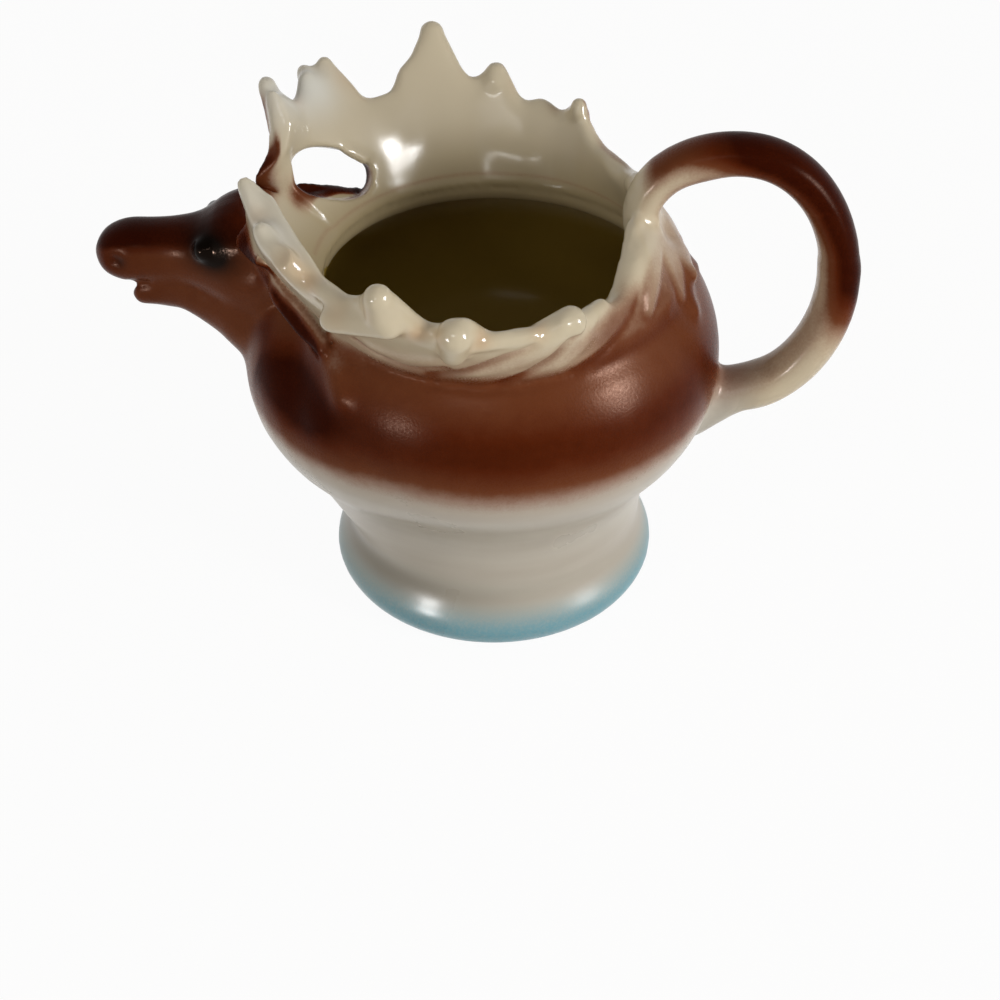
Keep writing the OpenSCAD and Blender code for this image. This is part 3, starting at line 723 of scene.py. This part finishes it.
# a point this near the clay's takes over its shading, and a face this deep is a luted one
samePoint = 0.01
jointDepth = 0.00004
clayPoints = KDTree(len(co))
for k, p in enumerate(co):
    clayPoints.insert(p, k)
clayPoints.balance()
skin = BVHTree.FromPolygons([v.co for v in clay.data.vertices], [p.vertices for p in clay.data.polygons])
for name, piece in pieces.items():
    pieceCo = points(piece)
    nearest = np.array([clayPoints.find(p)[1] for p in pieceCo])
    for layer, values in coats.items():
        attribute = piece.data.attributes.new(layer, "FLOAT", "POINT")
        attribute.data.foreach_set("value", values[nearest].astype(np.float32))
    piece.data.materials.clear()
    piece.data.materials.append(materials[slots[name]])
    piece.data.polygons.foreach_set("material_index", np.zeros(len(piece.data.polygons), np.int32))
    pick(piece)
    bpy.ops.object.shade_smooth()
    # skin keeps the shading of the whole jug, the luted faces stay flat
    loopVert = np.empty(len(piece.data.loops), np.int32)
    piece.data.loops.foreach_get("vertex_index", loopVert)
    faceNo = np.empty(len(piece.data.polygons) * 3, np.float32)
    piece.data.polygons.foreach_get("normal", faceNo)
    middles = np.empty(len(piece.data.polygons) * 3, np.float32)
    piece.data.polygons.foreach_get("center", middles)
    counts = np.empty(len(piece.data.polygons), np.int32)
    piece.data.polygons.foreach_get("loop_total", counts)
    loopFace = np.repeat(np.arange(len(counts)), counts)
    skinNo = no[nearest]
    for k in np.nonzero(np.linalg.norm(pieceCo - co[nearest], axis=1) > samePoint)[0]:
        spot, _, face, _ = skin.find_nearest(Vector(pieceCo[k]) * mm)
        corners = clay.data.polygons[face].vertices
        shares = poly_3d_calc([clay.data.vertices[c].co for c in corners], spot)
        skinNo[k] = sum(share * no[c] for share, c in zip(shares, corners))
    luted = np.array([skin.find_nearest(m)[3] for m in middles.reshape(-1, 3)]) > jointDepth
    use = np.where(luted[loopFace][:, None], faceNo.reshape(-1, 3)[loopFace], skinNo[loopVert])
    piece.data.normals_split_custom_set(use.astype(np.float32).tolist())
    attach(piece, "root")
    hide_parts(name)
bpy.data.objects.remove(clay)
print("pieces glazed")


# floor and light
studio = {
    "floorSize": 6, "paper": (0.82, 0.81, 0.79, 1), "paperWhite": 0.95,
    "sky": (1.0, 0.97, 0.92, 1), "skyStrength": 0.34, "skyWhite": 1.0}
bpy.ops.mesh.primitive_plane_add(size=studio["floorSize"], location=(0, 0, 0))
floor = bpy.context.object
floor.name = "floor"


def cameraWhite(tree, plain, white, share):
    onWorld = plain.bl_idname == "ShaderNodeBackground"
    outKind = "ShaderNodeOutputWorld" if onWorld else "ShaderNodeOutputMaterial"
    outNode = tree.nodes.new(outKind)
    mix = tree.nodes.new("ShaderNodeMixShader")
    ray = tree.nodes.new("ShaderNodeLightPath")
    seen = ray.outputs["Is Camera Ray"]
    for kind in ("Is Glossy Ray", "Is Transmission Ray"):
        both = tree.nodes.new("ShaderNodeMath")
        both.operation = "MAXIMUM"
        tree.links.new(seen, both.inputs[0])
        tree.links.new(ray.outputs[kind], both.inputs[1])
        seen = both.outputs[0]
    part = tree.nodes.new("ShaderNodeMath")
    part.operation = "MULTIPLY"
    part.inputs[1].default_value = share
    tree.links.new(seen, part.inputs[0])
    tree.links.new(part.outputs[0], mix.inputs["Fac"])
    tree.links.new(plain.outputs[0], mix.inputs[1])
    tree.links.new(white.outputs[0], mix.inputs[2])
    tree.links.new(mix.outputs[0], outNode.inputs["Surface"])


paper = bpy.data.materials.new("paper")
paper.use_nodes = True
paper.node_tree.nodes.clear()
paperFace = paper.node_tree.nodes.new("ShaderNodeBsdfDiffuse")
paperFace.inputs["Color"].default_value = studio["paper"]
paperGlow = paper.node_tree.nodes.new("ShaderNodeEmission")
paperGlow.inputs["Strength"].default_value = 1.0
cameraWhite(paper.node_tree, paperFace, paperGlow, studio["paperWhite"])
floor.data.materials.append(paper)

world = bpy.data.worlds.new("studio")
scene.world = world
world.use_nodes = True
world.node_tree.nodes.clear()
skyLight = world.node_tree.nodes.new("ShaderNodeBackground")
skyLight.inputs["Color"].default_value = studio["sky"]
skyLight.inputs["Strength"].default_value = studio["skyStrength"]
skyWhite = world.node_tree.nodes.new("ShaderNodeBackground")
skyWhite.inputs["Color"].default_value = (1, 1, 1, 1)
skyWhite.inputs["Strength"].default_value = 1.0
cameraWhite(world.node_tree, skyLight, skyWhite, studio["skyWhite"])

lamps = [
    {"name": "leftPane", "toward": (-0.64, -0.77, 0.05), "far": 0.75,
     "size": (0.14, 0.055), "power": 3.0, "gloss": True},
    {"name": "rightPane", "toward": (0.87, -0.36, 0.33), "far": 0.75,
     "size": (0.18, 0.15), "power": 10.0, "gloss": True},
    {"name": "lowPane", "toward": (0.90, -0.38, 0.12), "far": 0.75,
     "size": (0.10, 0.06), "power": 2.2, "gloss": True},
    {"name": "frontPane", "toward": (-0.13, -0.82, 0.56), "far": 0.90,
     "size": (0.34, 0.025), "power": 1.2, "gloss": True},
    {"name": "leftBox", "toward": (-0.55, -0.75, 0.30), "far": 0.80,
     "size": (0.20, 0.20), "power": 1.3, "gloss": False},
    {"name": "rightBox", "toward": (0.84, -0.46, 0.28), "far": 0.80,
     "size": (0.20, 0.30), "power": 3.8, "gloss": False}]
aim = Vector((0, 0, 0.045))
for lamp in lamps:
    toward = Vector(lamp["toward"]).normalized()
    bpy.ops.object.light_add(type="AREA", location=aim + toward * lamp["far"])
    light = bpy.context.object
    light.name = lamp["name"]
    light.data.shape = "RECTANGLE"
    light.data.size, light.data.size_y = lamp["size"]
    light.data.energy = lamp["power"]
    light.rotation_euler = toward.to_track_quat("Z", "Y").to_euler()
    light.visible_diffuse = not lamp["gloss"]
    light.visible_glossy = lamp["gloss"]
print("floor and light set")
